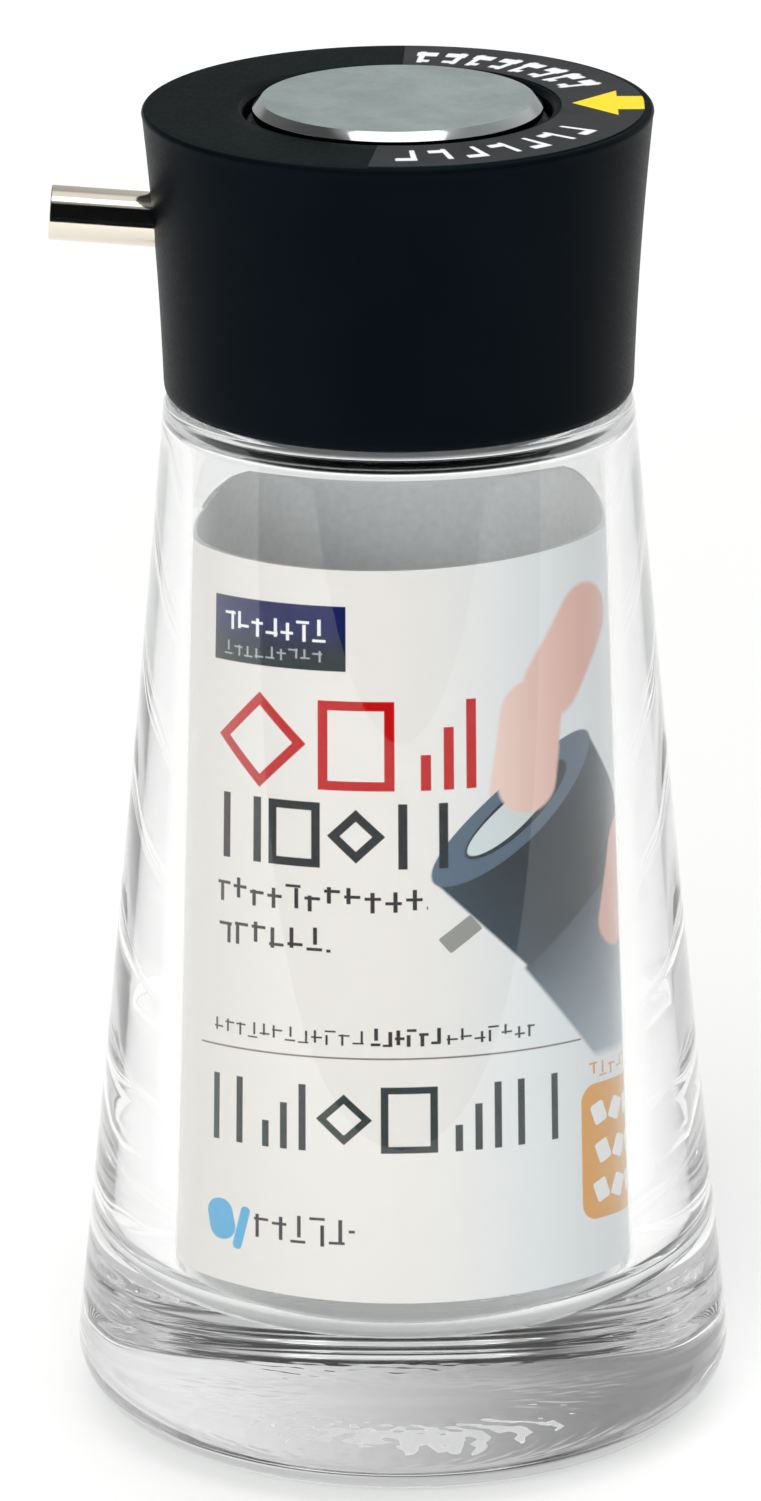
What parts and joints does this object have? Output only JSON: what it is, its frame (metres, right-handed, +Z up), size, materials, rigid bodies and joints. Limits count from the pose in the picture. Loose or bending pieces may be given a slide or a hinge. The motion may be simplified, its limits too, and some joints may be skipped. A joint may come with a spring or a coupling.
{
  "type": "soy sauce cruet",
  "caption": "Flared clear glass table cruet with a black screw cap, a straight steel spout and a sprung push button; a rolled paper insert lines the empty bottle.",
  "frame": {"origin": "on the bottle's axis, in the plane the foot stands on", "axes": "+Z up along the bottle's axis; the spout points along -X; -Y is the printed front"},
  "size_m": [0.0673, 0.066, 0.1348],
  "materials": {
    "clear_glass": "clear, thick, fire-polished, with faint mould marks in the base",
    "printed_paper": null,
    "black_plug": "glossy black moulding",
    "black_cap": "satin moulded black with a faint blue-green cast",
    "polished_steel": "polished stainless steel",
    "dark_film": null,
    "satin_steel": "fine satin face with a polished bevel",
    "black_carrier": "matt black moulding"
  },
  "bodies": {
    "bottle_body": {"bottle": "clear_glass", "paper_insert": "printed_paper", "mouth_plug": "black_plug", "cap": "black_cap", "spout": "polished_steel", "cap_sticker": "dark_film"},
    "button": {"push_plate": "satin_steel", "push_carrier": "black_carrier"}
  },
  "joints": [
    {"name": "button_press", "type": "slide", "parent": "bottle_body", "child": "button", "axis": [0, 0, -1], "range_m": [0, 0.0035], "stiffness_N_per_m": 800, "springref_m": -0.003}
  ]
}
